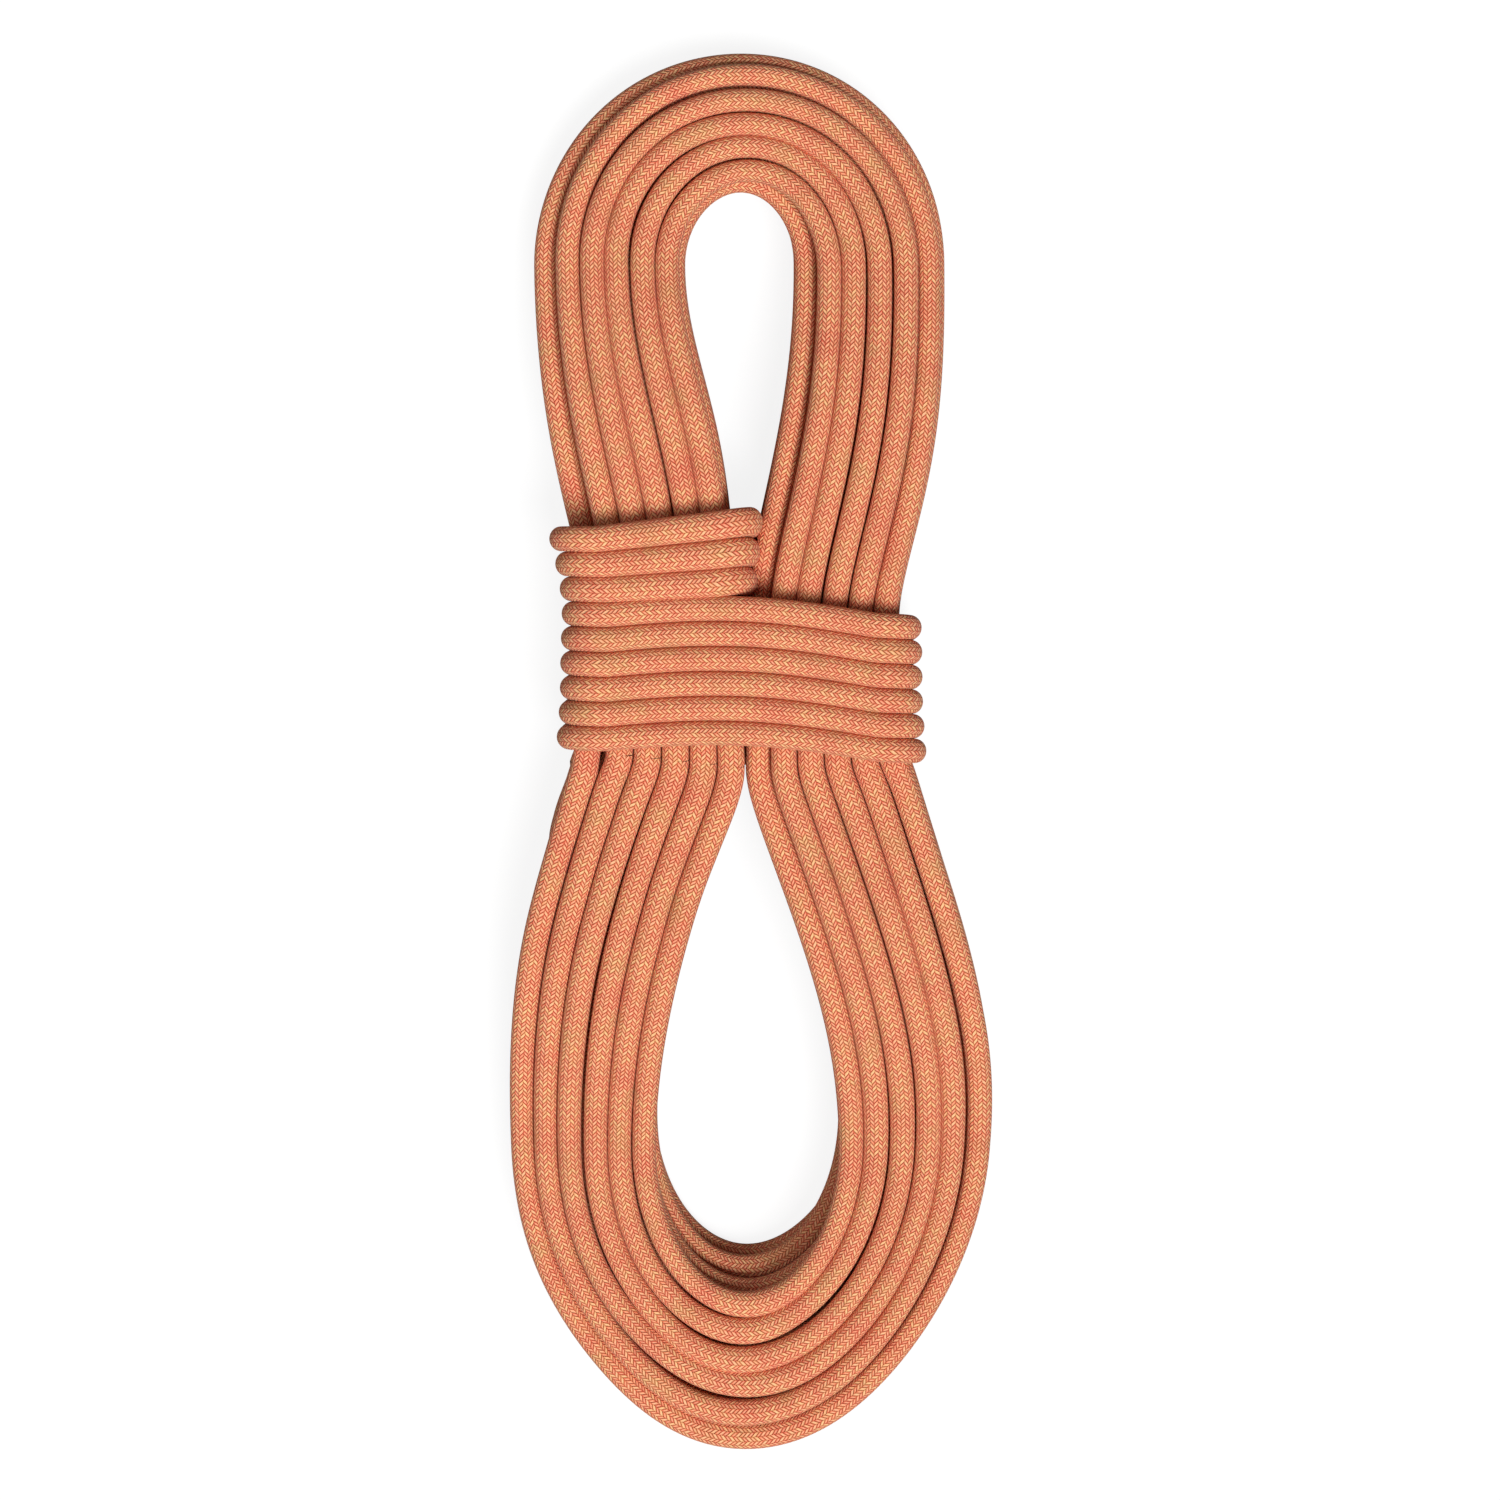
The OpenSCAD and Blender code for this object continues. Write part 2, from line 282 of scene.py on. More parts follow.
def part(s, gentle):
    """How far the legs have parted, from 0 to 1, at share s of the way to the bend."""
    t = np.maximum(0, s)
    q = (np.sqrt(t * t + gentle * gentle) - gentle) / (math.sqrt(1 + gentle * gentle) - gentle)
    return np.sin(np.pi / 2 * np.minimum(1, q))


def leg_half(y):
    """Half-width of the innermost loop at height y from the waist."""
    high = (TOP_HALF - WAIST_HALF) * part((y - WAIST_LEN) / (UPPER_RUN - WAIST_LEN), UPPER_PARTING)
    low = (BOTTOM_HALF - WAIST_HALF) * part(-y / LOWER_RUN, LOWER_PARTING)
    return WAIST_HALF + np.where(y > 0, high, low)


def leg_slope(y):
    """Slope of the innermost loop, measured within its leg."""
    span = np.maximum(LEAST_SPAN, np.minimum(np.minimum(SLOPE_SPAN, y + LOWER_RUN), UPPER_RUN - y))
    return (leg_half(y + span) - leg_half(y - span)) / (2 * span)


def bend(half, rise, turn):
    """Point of an ellipse whose outward direction leans by turn from the Y axis."""
    span = np.sqrt((half * np.sin(turn)) ** 2 + (rise * np.cos(turn)) ** 2)
    return half * half * np.sin(turn) / span, rise * rise * np.cos(turn) / span


def inner_loop(n):
    """Place and outward direction on the innermost loop; n counts loops from the bottom bend."""
    ring = (n * LOOP_RINGS) % LOOP_RINGS
    left = ring > HALF_RINGS
    ring = np.where(left, LOOP_RINGS - ring, ring)
    low_turn = np.radians(RING_TURN * ring)
    low_x, low_y = bend(BOTTOM_HALF, BOTTOM_FALL, low_turn)
    top_turn = np.radians(RING_TURN * (HALF_RINGS - ring))
    top_x, top_y = bend(TOP_HALF, TOP_RISE, top_turn)
    up = ring - WAIST_RING
    below = LOWER_RUN * up / (WAIST_RING - BEND_RINGS)
    above = UPPER_RING + (UPPER_RUN - UPPER_RING) * (up - 1)
    leg_y = np.select([up < 0, up < 1], [below, UPPER_RING * up], above)
    slope = leg_slope(leg_y)
    steep = np.sqrt(1 + slope * slope)
    where = [ring < BEND_RINGS, ring > HALF_RINGS - BEND_RINGS]
    x = np.select(where, [low_x, top_x], leg_half(leg_y))
    y = np.select(where, [-LOWER_RUN - low_y, UPPER_RUN + top_y], leg_y)
    out_x = np.select(where, [np.sin(low_turn), np.sin(top_turn)], 1 / steep)
    out_y = np.select(where, [-np.cos(low_turn), np.cos(top_turn)], -slope / steep)
    mirror = np.where(left, -1, 1)
    return x * mirror, y, out_x * mirror, out_y


def loops_out(n):
    """Number of pitches out from the innermost loop: the layers spiral inwards and outwards by turns."""
    q = (n - FIRST_TURN) % (2 * LAYER_LOOPS)
    return np.where(q <= LAYER_LOOPS, q, 2 * LAYER_LOOPS - q)


def layer(n):
    """Number of layers down from the front."""
    turns = [FIRST_TURN + j * LAYER_LOOPS for j in range(LAYERS - 1)]
    return sum(ease((n - turn) / STEP_DOWN + 0.5) for turn in turns)


def spread(y, left):
    """Distance between the loops of a leg, as a share of the usual pitch."""
    upper = np.where(left, LEFT_FLARE, RIGHT_FLARE) * swell(y, WAIST_LEN, UPPER_RUN - WAIST_LEN)
    end = np.where(left, LEFT_FLARE_END, RIGHT_FLARE_END)
    lower = LOWER_FLARE * ease((FLARE_FROM - y) / FLARE_GROWS) * ease((y - end) / FLARE_FADES)
    waist = np.where(left, LEFT_WAIST, RIGHT_WAIST) * near(y, WAIST_MIDDLE, STILL_SPAN)
    return 1 + upper + lower + waist


def left_pull(y):
    """How far the innermost loop of the left leg is drawn in."""
    low = LOW_PULL * swell(y, LOW_PULL_FROM, LOW_PULL_SPAN)
    return low + HIGH_PULL * swell(y, HIGH_PULL_FROM, HIGH_PULL_SPAN)


def lean(y):
    """How far the hank leans to the right at height y."""
    lower = LOWER_LEAN * swell(y, LOWER_LEAN_FROM, LOWER_LEAN_SPAN)
    return lower - TOP_LEAN * ease((y - TOP_LEAN_FROM) / TOP_LEAN_SPAN)


def leg_pitch(y, left):
    """Distance between neighbouring loops of a leg, whose outermost loop stays where it is."""
    return PITCH * spread(y, left) + np.where(left, left_pull(y), 0) / LAYER_LOOPS


def loop_pitch(n):
    """Distance between neighbouring loops, in the legs and in the bends."""
    _, y, out_x, out_y = inner_loop(n)
    bottom = BOTTOM_SPREAD * out_y ** 2 - FLANK_PINCH * (2 * out_x * out_y) ** 2
    top = TOP_SPREAD * out_y ** 2
    at_bends = bottom * (y < -LOWER_RUN) + top * (y > UPPER_RUN)
    return leg_pitch(y, out_x < 0) + PITCH * at_bends


def loosened(n):
    return sum(out * near(n, place, LOOSE_SPAN) for place, out in LOOSE_LOOPS)


def raised(y):
    """How far the wraps under the hank hold it up at height y from the waist."""
    below = ease((y + LOWER_RUN) / (LOWER_RUN - RAISED_BELOW))
    above = ease((y - RAISED_ABOVE) / (UPPER_RUN + TOP_RISE - RAISED_ABOVE))
    return WRAP_FRONT * below * (1 - above)


def wander(n, rate):
    """Small uneven waves along the hank, which die out at the waist."""
    waves = sum(amount * np.sin(2 * np.pi * faster * rate * n + start) for amount, faster, start in WAVES)
    return WANDER * waves * (1 - near(inner_loop(n)[1], 0, STILL_SPAN))


def hank_points(n):
    """Middle line of the hank's loops."""
    x, y, out_x, out_y = inner_loop(n)
    level = layer(n)
    inmost = 1 - SLIP_FADE * share(loops_out(n) / SLIP_LOOPS)
    slip = LAYER_SLIP * (1 - ease((y + LOWER_RUN) / LOWER_RUN)) * (level * inmost - (LAYERS - 1) / 2)
    out = loops_out(n) * loop_pitch(n) + wander(n, SIDE_RATE) + loosened(n)

    # Every other layer spirals outwards, and is drawn level with its neighbours at the bottom
    outward = np.sin(np.pi / 2 * level) ** 2
    facing_down = np.maximum(0, -out_y) * (y < -LOWER_RUN)
    past_middle = (n + 0.5) % 1 - 0.5
    out = out - PITCH * (0.5 + 2 * past_middle) * outward * facing_down * inmost
    out = out + STAGGER * outward * near(y, 0, STILL_SPAN)

    free = 1 - near(y, WAIST_MIDDLE, HELD_SPAN)
    sag = SAG * ease((loops_out(n) - SAG_FROM) / SAG_LOOPS) * free * (1 - level / (LAYERS - 1))
    z = GROUND_Z + (LAYERS - 1 - level) * PITCH + raised(y) + LIFT_SHARE * wander(n, LIFT_RATE) - sag
    pulled = x + np.where(out_x < 0, left_pull(y), 0)
    shown_y = y + out_y * out + slip
    return np.stack([pulled + out_x * out + lean(shown_y), shown_y, z], axis=-1)


def leg_edge(y, loops, left):
    """Where the loop that lies a number of pitches out crosses height y, out from the middle."""
    lower = y + leg_slope(y) * loops * PITCH
    slope = leg_slope(lower)
    out = loops * leg_pitch(lower, left) / math.sqrt(1 + slope * slope)
    return float(leg_half(lower) + out - (left_pull(lower) if left else 0))


def wrap_point(n):
    """Middle line of the wraps; n counts turns from the back left corner of the lowest."""
    turn = math.floor(n + TINY)
    passed = n - turn
    marks_passed = int(np.searchsorted(WRAP_MARKS, passed + TINY, side="right"))
    stretch = min(marks_passed - 1, len(WRAP_MARKS) - 2)
    begins, ends = WRAP_MARKS[stretch:stretch + 2]
    t = (passed - begins) / (ends - begins)
    y = FIRST_WRAP + WRAP_PITCH * n
    both = turn < BOTH_LEG_WRAPS
    left = -leg_edge(y, LEFT_OUT, True) - WRAP_SIDE
    if both:
        right = leg_edge(y, RIGHT_OUT, False) + WRAP_SIDE
        tilt = -WRAP_FALL
    else:
        inner = leg_edge(y + WRAP_TILT * LAYER_LOOPS * PITCH, LEFT_IN, True)
        right = WRAP_EYE - inner + WRAP_FAN * (turn - BOTH_LEG_WRAPS)
        tilt = WRAP_TILT - TILT_FAN * (WRAP_COUNT - 1 - turn)
    low = GROUND_Z
    high = GROUND_Z + 2 * WRAP_FRONT + (LAYERS - 1) * PITCH
    # The back, the right side, the front and the left side, each with the bend that follows it
    x0, x1 = left + WRAP_BEND, right - WRAP_BEND
    z0, z1 = low + WRAP_BEND, high - WRAP_BEND
    fades = WRAP_BEND * math.cos(math.pi / 2 * t)
    grows = WRAP_BEND * math.sin(math.pi / 2 * t)
    x, z = (
        (x0 + (x1 - x0) * t, low), (x1 + grows, z0 - fades),
        (right, z0 + (z1 - z0) * t), (x1 + fades, z1 + grows),
        (x1 + (x0 - x1) * t, high), (x0 - grows, z1 + fades),
        (left, z1 + (z0 - z1) * t), (x0 - fades, z0 - grows),
    )[stretch]
    bow = WRAP_BOW * math.sin(math.pi * t) if both and stretch == FRONT else 0
    return x, y + tilt * max(0, x - x0) + bow + WRAP_LEAN * (z - (low + high) / 2), z


def along(points):
    """Distance of each point from the first, along the line through them."""
    return np.concatenate([[0], np.cumsum(np.linalg.norm(np.diff(points, axis=0), axis=1))])


def through(points):
    """Smooth line through points, with about one step between the places on it."""
    points = np.asarray(points)
    run = along(points)
    slopes = np.gradient(points, run, axis=0)
    places = np.linspace(0, run[-1], int(run[-1] / LINE_STEP))
    i = np.clip(np.searchsorted(run, places, side="right") - 1, 0, len(run) - 2)
    span = (run[i + 1] - run[i])[:, None]
    t = (places - run[i])[:, None] / span
    from_last = (1 + 2 * t) * (1 - t) ** 2 * points[i] + t * (1 - t) ** 2 * span * slopes[i]
    from_next = t * t * (3 - 2 * t) * points[i + 1] + t * t * (t - 1) * span * slopes[i + 1]
    return from_last + from_next


def nearest(line, point):
    """Number of the place on a line that lies nearest to a point."""
    return np.linalg.norm(line - point, axis=1).argmin()


def sideways(line, up):
    """Directions across a line and across up."""
    across = np.cross(np.gradient(line, axis=0), up)
    return across / np.linalg.norm(across, axis=1)[:, None]


def middle(node):
    return (np.array(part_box(node)[0]) + np.array(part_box(node)[1])) / 2


def end_line(sheath, tip):
    """Middle line of the outer half of an end's sheath, towards its tip, from the hank's middle."""
    way = unit(middle(tip) - middle(sheath))
    return middle(sheath) + way * np.linspace(0, END_LEN / 2, 3)[:, None] - PLACE


def start_line(hank):
    """Middle line from the start's tip to the hank."""
    end = end_line("start_sheath", "start_tip")[::-1]
    line = through([*end, hank[0], hank[HANK_START_STEPS]])
    return line[:nearest(line, hank[0])]


def link_line(hank, wraps):
    """Middle line from the hank, under the left leg, to the wraps."""
    hank_end = hank[-1]
    wrap_start = wraps[0]
    down = GROUND_Z - hank_end[2]
    turn = [hank_end + np.array([ROPE_D * x, ROPE_D * y, down * z]) for x, y, z in LINK_TURN]
    join = [wrap_start + ROPE_D * np.array(p) for p in LINK_JOIN]
    before = wrap_start - ROPE_D * unit(wraps[1] - wrap_start)
    bends = [hank[-HANK_END_STEPS], hank_end, *turn, *join, before, wrap_start, wraps[WRAP_START_STEPS]]
    line = through(bends)
    return line[nearest(line, hank_end) + 1:nearest(line, wrap_start)]


def tail_line(wraps):
    """Middle line from the wraps to the tail's tip."""
    line = through([wraps[-WRAP_END_STEPS], wraps[-1], *end_line("tail_sheath", "tail_tip")])
    return line[nearest(line, wraps[-1]) + 1:]


def whole_route():
    """The rope's line from tip to tip, its width across it, and where the loops and wraps lie on it."""
    hank_n = np.linspace(START_N + START_JOIN, END_N + RUN_ON, LOOPS * LOOP_STEPS)
    hank = hank_points(hank_n)
    wrap_n = np.linspace(WRAP_FROM, WRAP_TO, WRAP_COUNT * WRAP_STEPS)
    wraps = np.array([wrap_point(n) for n in wrap_n])
    start = start_line(hank)
    link = link_line(hank, wraps)
    tail = tail_line(wraps)
    line = np.concatenate([start, hank, link, wraps, tail]) + PLACE
    run = along(line)
    hank_part = slice(len(start), len(start) + len(hank))
    wrap_part = slice(hank_part.stop + len(link), hank_part.stop + len(link) + len(wraps))

    # The wraps lie side by side along Y, the loops along the ground
    across = sideways(line, (0, 0, 1))
    across[wrap_part] = sideways(wraps, np.cross(np.gradient(wraps, axis=0), (0, 1, 0)))
    hank_width = (loop_pitch(hank_n) - PRESSED_GAP) / ROPE_D
    fanned = TILT_FAN * (wraps[:, 0] - wraps[:, 0].min()) * (wrap_n > BOTH_LEG_WRAPS)
    width = np.ones(len(line))
    width[:hank_part.start] = np.linspace(1, hank_width[0], len(start))
    width[hank_part] = hank_width
    width[wrap_part] = (WRAP_PITCH + fanned - WRAP_GAP) / ROPE_D

    def at_loop(n):
        return np.interp(n, hank_n, run[hank_part])

    def at_wrap(n):
        return np.interp(n, wrap_n, run[wrap_part])

    return (line, across, width, run), at_loop, at_wrap


def carried_frames(line):
    """Sideways and upward directions along a line, turned as little as it allows."""
    ways = np.gradient(line, axis=0)
    ways /= np.linalg.norm(ways, axis=1)[:, None]
    sides = np.empty_like(line)
    side = np.cross(ways[0], (0, 0, 1))
    for i, way in enumerate(ways):
        side = unit(side - way * side.dot(way))
        sides[i] = side
    return sides, np.cross(sides, ways)


def rope_mesh(name, line, across, width, run):
    """Tube along a line, with the places of its floats and a layout in rows for its surface."""
    count = len(line)
    angles = np.arange(SIDES) * 2 * np.pi / SIDES
    sides, tops = carried_frames(line)
    out = np.cos(angles)[None, :, None] * sides[:, None, :]
    out += np.sin(angles)[None, :, None] * tops[:, None, :]
    part_across = np.einsum("ijk,ik->ij", out, across)
    out += (part_across * (width - 1)[:, None])[:, :, None] * across[:, None, :]
    points = line[:, None, :] + ROPE_D / 2 * out
    points[:, :, 2] = np.maximum(points[:, :, 2], 0)

    ring = np.repeat(np.arange(count - 1), SIDES)
    at = np.tile(np.arange(SIDES), count - 1)
    after = (at + 1) % SIDES
    a = ring * SIDES + at
    b = ring * SIDES + after
    quads = np.stack([a, b, b + SIDES, a + SIDES], axis=1)

    mesh = bpy.data.meshes.new(name)
    mesh.from_pydata(points.reshape(-1, 3).tolist(), [], quads.tolist())
    mesh.polygons.foreach_set("use_smooth", np.ones(len(quads), dtype=bool))

    # Corners of each face, round the rope and along it
    corner_at = np.stack([at, at + 1, at + 1, at], axis=1) / SIDES
    corner_run = np.stack([run[ring], run[ring], run[ring + 1], run[ring + 1]], axis=1)
    floats = np.stack([corner_at * BRAID_COLUMNS, corner_run / FLOAT_PITCH], axis=2)
    braid = mesh.uv_layers.new(name="braid")
    braid.uv.foreach_set("vector", floats.reshape(-1).astype(np.float32))

    # As many rows as make each about as long as all of them are wide
    rows = round(math.sqrt((run[-1] - run[0]) / (math.pi * ROPE_D)))
    row_len = math.ceil((count - 1) / rows)
    row = ring // row_len
    first = ring % row_len
    corner_place = np.stack([first, first, first + 1, first + 1], axis=1)
    flat_x = END_MARGIN + (1 - 2 * END_MARGIN) * corner_place / row_len
    flat_y = (row[:, None] + ROW_MARGIN + (1 - 2 * ROW_MARGIN) * corner_at) / rows
    layout = mesh.uv_layers.new(name="OFBake")
    layout.uv.foreach_set("vector", np.stack([flat_x, flat_y], axis=2).reshape(-1).astype(np.float32))
    mesh.update()
    return mesh


def linear(red, green, blue):
    """A colour as seen, from 0 to 255, as the shader takes it."""
    seen = [channel / 255 for channel in (red, green, blue)]
    parts = [p / 12.92 if p <= 0.04045 else ((p + 0.055) / 1.055) ** 2.4 for p in seen]
    return (*parts, 1.0)


def adjusted(made, **settings):
    for name, value in settings.items():
        setattr(made, name, value)
    return made


def add_object(name, data):
    made = bpy.data.objects.new(name, data)
    bpy.context.collection.objects.link(made)
    return made


class Nodes:
    """Short ways to add shader nodes to a material or a world."""

    def __init__(self, owner, shader="Principled BSDF"):
        owner.use_nodes = True
        self.tree = owner.node_tree
        self.shader = self.tree.nodes[shader]

    def add(self, kind, **settings):
        return adjusted(self.tree.nodes.new(kind), **settings)

    def put(self, socket, value):
        if isinstance(value, bpy.types.NodeSocket):
            self.tree.links.new(value, socket)
        else:
            socket.default_value = value

    def shade(self, name, value):
        self.put(self.shader.inputs[name], value)

    def math(self, operation, a, b=0.0, c=0.0):
        made = self.add("ShaderNodeMath", operation=operation)
        for socket, value in zip(made.inputs, (a, b, c)):
            self.put(socket, value)
        return made.outputs[0]

    def mix(self, factor, a, b):
        # The node has sockets of several kinds: 6 and 7 take colours, and 2 gives one
        made = self.add("ShaderNodeMix", data_type="RGBA")
        self.put(made.inputs[0], factor)
        self.put(made.inputs[6], a)
        self.put(made.inputs[7], b)
        return made.outputs[2]

    def between(self, value, low, high, to_low=0.0, to_high=1.0):
        made = self.add("ShaderNodeMapRange", interpolation_type="SMOOTHSTEP")
        for socket, number in zip(made.inputs, (value, low, high, to_low, to_high)):
            self.put(socket, number)
        return made.outputs[0]

    def tint(self, colour, value, low, high, weight_low, weight_high, seen):
        """Mixes in a colour as seen, by its weights where value is low and where it is high."""
        return self.mix(self.between(value, low, high, weight_low, weight_high), colour, linear(*seen))

    def steps(self, value, stops):
        """One colour after another as value grows from 0 to 1."""
        made = self.add("ShaderNodeValToRGB")
        made.color_ramp.interpolation = "CONSTANT"
        while len(made.color_ramp.elements) < len(stops):
            made.color_ramp.elements.new(0.5)
        for element, (position, colour) in zip(made.color_ramp.elements, stops):
            element.position = position
            element.color = linear(*colour)
        self.put(made.inputs[0], value)
        return made.outputs[0]

    def vector(self, x, y, z):
        made = self.add("ShaderNodeCombineXYZ")
        for socket, value in zip(made.inputs, (x, y, z)):
            self.put(socket, value)
        return made.outputs[0]

    def spot(self):
        return self.add("ShaderNodeTexCoord").outputs["Object"]

    def noise(self, vector, scale, detail):
        made = self.add("ShaderNodeTexNoise")
        self.put(made.inputs["Vector"], vector)
        self.put(made.inputs["Scale"], scale)
        self.put(made.inputs["Detail"], detail)
        return made.outputs["Fac"]

    def bump(self, height, strength, distance):
        made = self.add("ShaderNodeBump")
        self.put(made.inputs["Strength"], strength)
        self.put(made.inputs["Distance"], distance)
        self.put(made.inputs["Height"], height)
        self.shade("Normal", made.outputs[0])


def sheath_material():
    """Woven sheath: columns of slanted floats, yarns of three colours, painted shade between the floats.
    """
    material = bpy.data.materials.new("woven_sheath")
    nodes = Nodes(material)
    uv = nodes.add("ShaderNodeUVMap", uv_map="braid")
    split = nodes.add("ShaderNodeSeparateXYZ")
    nodes.put(split.inputs[0], uv.outputs[0])
    column = nodes.math("FLOOR", split.outputs[0])
    across = nodes.math("SUBTRACT", nodes.math("SUBTRACT", split.outputs[0], column), 0.5)
    odd = nodes.math("MODULO", column, 2.0)
    slant = nodes.math("MULTIPLY_ADD", odd, -2.0, 1.0)

    place = nodes.math("MULTIPLY_ADD", slant, across, split.outputs[1])
    place = nodes.math("MULTIPLY_ADD", odd, 0.5, place)
    number = nodes.math("FLOOR", place)
    off = nodes.math("SUBTRACT", nodes.math("SUBTRACT", place, number), 0.5)

    # Each float is round across and dives under its neighbours at both ends
    edge = nodes.math("MULTIPLY", nodes.math("ABSOLUTE", off), 2 * FLOAT_FILL)
    end = nodes.math("MULTIPLY", nodes.math("ABSOLUTE", across), 2.0)
    crown = nodes.math("SQRT", nodes.math("SUBTRACT", 1.0, nodes.math("MULTIPLY", edge, edge)))
    dive = nodes.math("MULTIPLY_ADD", nodes.math("POWER", end, DIVE_POWER), -FLOAT_DIVE, 1.0)
    height = nodes.math("MULTIPLY", crown, dive)

    # Fine filaments along each float
    thread = nodes.vector(
        nodes.math("MULTIPLY", off, FILAMENTS_ACROSS),
        nodes.math("MULTIPLY", across, FILAMENTS_ALONG),
        nodes.math("ADD", number, nodes.math("MULTIPLY", column, COLUMN_SHIFT)),
    )
    filament = nodes.noise(thread, scale=1.0, detail=1.0)
    surface = nodes.math("MULTIPLY_ADD", filament, FILAMENT_HEIGHT, height)

    # The yarn that a float belongs to goes round the rope, so its colour comes back along a slant
    yarn = nodes.math("MULTIPLY_ADD", slant, column, number)
    yarn = nodes.math("FLOORED_MODULO", yarn, float(BRAID_COLUMNS))
    chance = nodes.add("ShaderNodeTexWhiteNoise", noise_dimensions="1D")
    nodes.put(chance.inputs["W"], nodes.math("MULTIPLY_ADD", odd, OTHER_WAY, yarn))
    deep = nodes.steps(chance.outputs["Value"], DEEP_YARNS)
    pale = nodes.steps(chance.outputs["Value"], PALE_YARNS)
    colour = nodes.mix(nodes.math("FLOORED_MODULO", number, 2.0), deep, pale)

    # Redder and browner stretches, as in a heathered yarn, then a painted highlight on the crowns of the
    # floats and painted shade in the gaps between them
    spot = nodes.spot()
    colour = nodes.tint(colour, nodes.noise(spot, RED_SCALE, detail=3.0), *RED_STRETCHES)
    colour = nodes.tint(colour, nodes.noise(spot, TAN_SCALE, detail=2.0), *TAN_STRETCHES)
    # Painted highlight on the crown of each float
    colour = nodes.tint(colour, surface, *PAINTED_CROWN_HIGHLIGHT)
    # Painted shade in the gaps between the floats
    colour = nodes.tint(colour, surface, *PAINTED_GAP_SHADE)
    nodes.shade("Base Color", colour)
    nodes.bump(surface, strength=0.9, distance=0.0006)
    nodes.shade("Roughness", nodes.between(filament, low=0.2, high=0.8, to_low=0.62, to_high=0.8))
    nodes.shade("Specular IOR Level", 0.2)
    nodes.shade("Sheen Weight", 0.08)
    nodes.shade("Sheen Roughness", 0.5)
    return material


def core_material():
    """White twisted strands."""
    material = bpy.data.materials.new("core_strands")
    nodes = Nodes(material)
    twist = nodes.add("ShaderNodeTexWave", bands_direction="DIAGONAL")
    nodes.put(twist.inputs["Vector"], nodes.spot())
    nodes.put(twist.inputs["Scale"], PLY_SCALE)
    nodes.put(twist.inputs["Distortion"], 1.5)
    ply = twist.outputs["Fac"]
    nodes.shade("Base Color", nodes.mix(ply, linear(*PLY_DEEP), linear(*PLY_PALE)))
    nodes.bump(ply, strength=0.6, distance=0.0003)
    nodes.shade("Roughness", 0.75)
    return material


def tip_material():
    """Sheath and core melted together: dull, darker than the rope, uneven."""
    material = bpy.data.materials.new("fused_tip")
    nodes = Nodes(material)
    clots = nodes.noise(nodes.spot(), CLOT_SCALE, detail=4.0)
    mixed = nodes.between(clots, low=0.35, high=0.65)
    nodes.shade("Base Color", nodes.mix(mixed, linear(*CLOT_DEEP), linear(*CLOT_PALE)))
    nodes.bump(clots, strength=0.5, distance=0.0004)
    nodes.shade("Roughness", nodes.between(clots, low=0.3, high=0.7, to_low=0.35, to_high=0.6))
    return material


def finish_solid(name, material):
    """Gives a solid that stays in view its own material."""
    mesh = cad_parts[name].data
    mesh.materials.clear()
    mesh.materials.append(material)


def rope_piece(name, nodes_replaced, low, high, route, material):
    """One stretch of the rope between two places along it, in place of the solids it stands for."""
    line, across, width, run = route
    count = round((high - low) / RING_STEP)
    places = np.linspace(low, high, count + 1)
    points = np.stack([np.interp(places, run, line[:, axis]) for axis in range(3)], axis=1)
    ways = np.stack([np.interp(places, run, across[:, axis]) for axis in range(3)], axis=1)
    mesh = rope_mesh(name, points, ways, np.interp(places, run, width), places)
    mesh.materials.append(material)
    piece = add_object(name, mesh)
    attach(piece, "root")
    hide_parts(*nodes_replaced)


def make_rope(material):
    """The hank, cut where the wraps hide it, then the link, then the wraps, cut at their back."""
    route, at_loop, at_wrap = whole_route()
    hank_end = at_loop(END_N + RUN_ON)
    wrap_start = at_wrap(WRAP_FROM)
    rope_end = route[-1][-1]

    cut_loops = [*range(PAIRS_FROM), *range(PAIRS_FROM + 1, PAIRS_TO, 2), *range(PAIRS_TO, LOOPS - 1)]
    places = [0, *[at_loop(n + LEFT_LEG) for n in cut_loops], hank_end]
    for i, (low, high) in enumerate(zip(places, places[1:])):
        replaced = ["hank_loops", "start_sheath"] if i == 0 else ["hank_loops"]
        rope_piece(f"hank_loop_{i + 1:02d}", replaced, low, high, route, material)
    rope_piece("link_to_wraps", ["wrap_link"], hank_end, wrap_start, route, material)
    places = [wrap_start, *[at_wrap(n) for n in range(1, WRAP_COUNT)], rope_end]
    for i, (low, high) in enumerate(zip(places, places[1:])):
        ends_here = i == WRAP_COUNT - 1
        replaced = ["waist_wraps", "tail_run", "tail_sheath"] if ends_here else ["waist_wraps"]
        rope_piece(f"wrap_{i + 1:02d}", replaced, low, high, route, material)


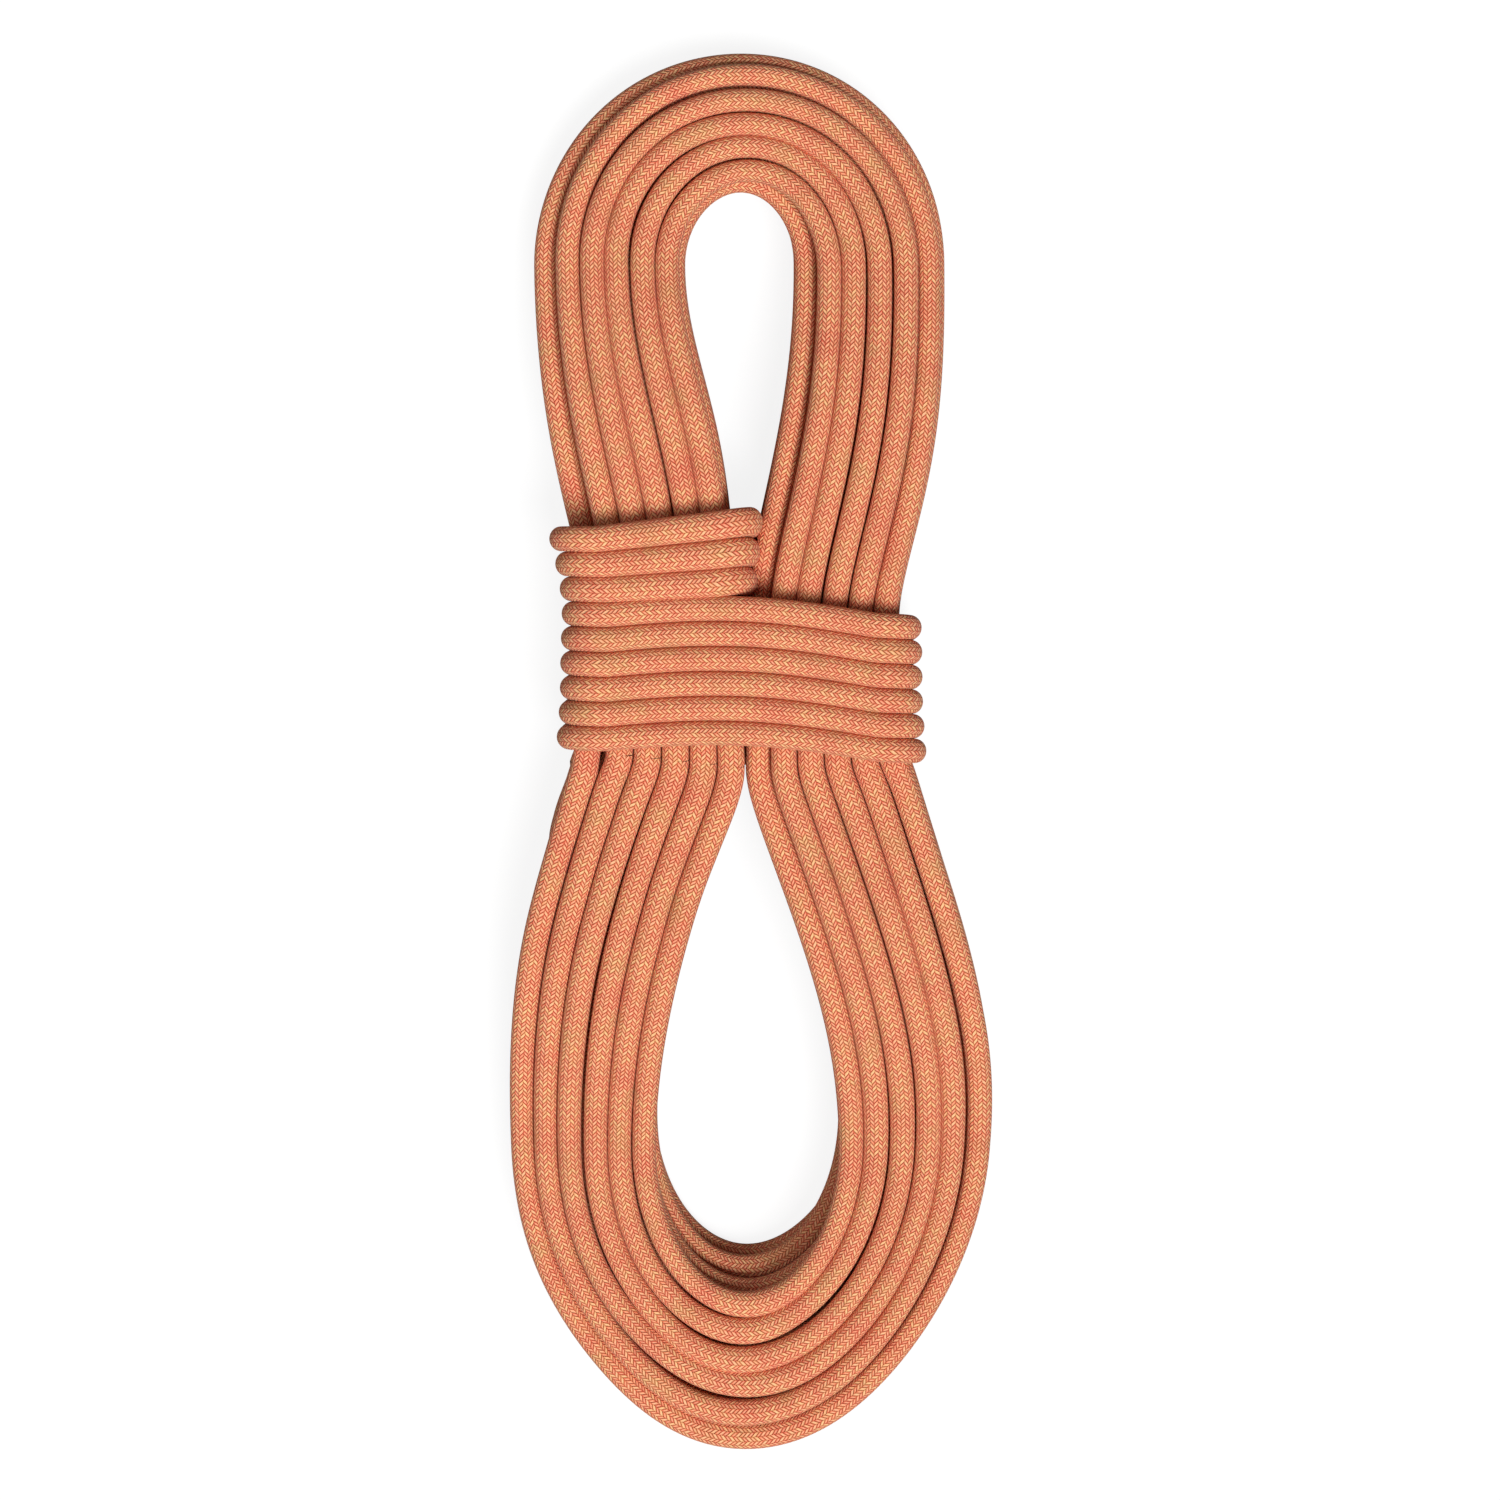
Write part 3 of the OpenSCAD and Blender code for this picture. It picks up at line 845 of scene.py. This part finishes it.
def make_camera():
    data = bpy.data.cameras.new("photo_camera")
    data.sensor_width = CAMERA_SENSOR
    data.lens = CAMERA_LENS
    data.clip_end = CAMERA_REACH
    camera = add_object("photo_camera", data)
    x, y, z = CAMERA_AIM
    y += CAMERA_AWAY * math.sin(CAMERA_TILT)
    z += CAMERA_AWAY * math.cos(CAMERA_TILT)
    camera.location = (x, y, z)
    camera.rotation_euler = (-CAMERA_TILT, 0, 0)
    bpy.context.scene.camera = camera


def make_lamp(name, kind, place, energy, **settings):
    """Lamp that shines at the hank's middle; a sun is as strong at one end of it as at the other."""
    lamp = add_object(name, adjusted(bpy.data.lights.new(name, kind), energy=energy, **settings))
    lamp.location = place
    lamp.rotation_euler = (-lamp.location).to_track_quat("-Z", "Y").to_euler()


def seen_straight(nodes):
    """Is 1 where the camera looks straight at the floor or the surroundings."""
    return nodes.add("ShaderNodeLightPath").outputs["Is Camera Ray"]


def make_floor():
    bpy.ops.mesh.primitive_plane_add(size=FLOOR_SIZE, location=(0, 0, -FLOOR_DROP))
    floor = bpy.context.object
    floor.name = "floor"
    material = bpy.data.materials.new("floor_white")
    nodes = Nodes(material)
    nodes.shade("Base Color", FLOOR_COLOUR)
    nodes.shade("Roughness", 0.9)
    nodes.shade("Emission Color", WHITE)
    nodes.shade("Emission Strength", nodes.math("MULTIPLY", seen_straight(nodes), FLOOR_GLOW))
    floor.data.materials.append(material)


def make_world():
    world = bpy.data.worlds.new("studio")
    nodes = Nodes(world, "Background")
    nodes.shade("Color", WHITE)
    nodes.shade("Strength", nodes.between(seen_straight(nodes), 0.0, 1.0, SKY_LEVEL, 1.0))
    bpy.context.scene.world = world


bpy.context.scene.view_settings.view_transform = "Standard"
make_camera()
make_rope(sheath_material())
strands = core_material()
melted = tip_material()
for end in ("start", "tail"):
    finish_solid(f"{end}_core", strands)
    finish_solid(f"{end}_tip", melted)
make_floor()
make_world()
make_lamp("key", "SUN", (0.6, -0.72, 2.0), energy=3.05, angle=math.radians(28))
make_lamp("fill", "AREA", (-1.0, -0.1, 1.5), energy=7, size=1.0)
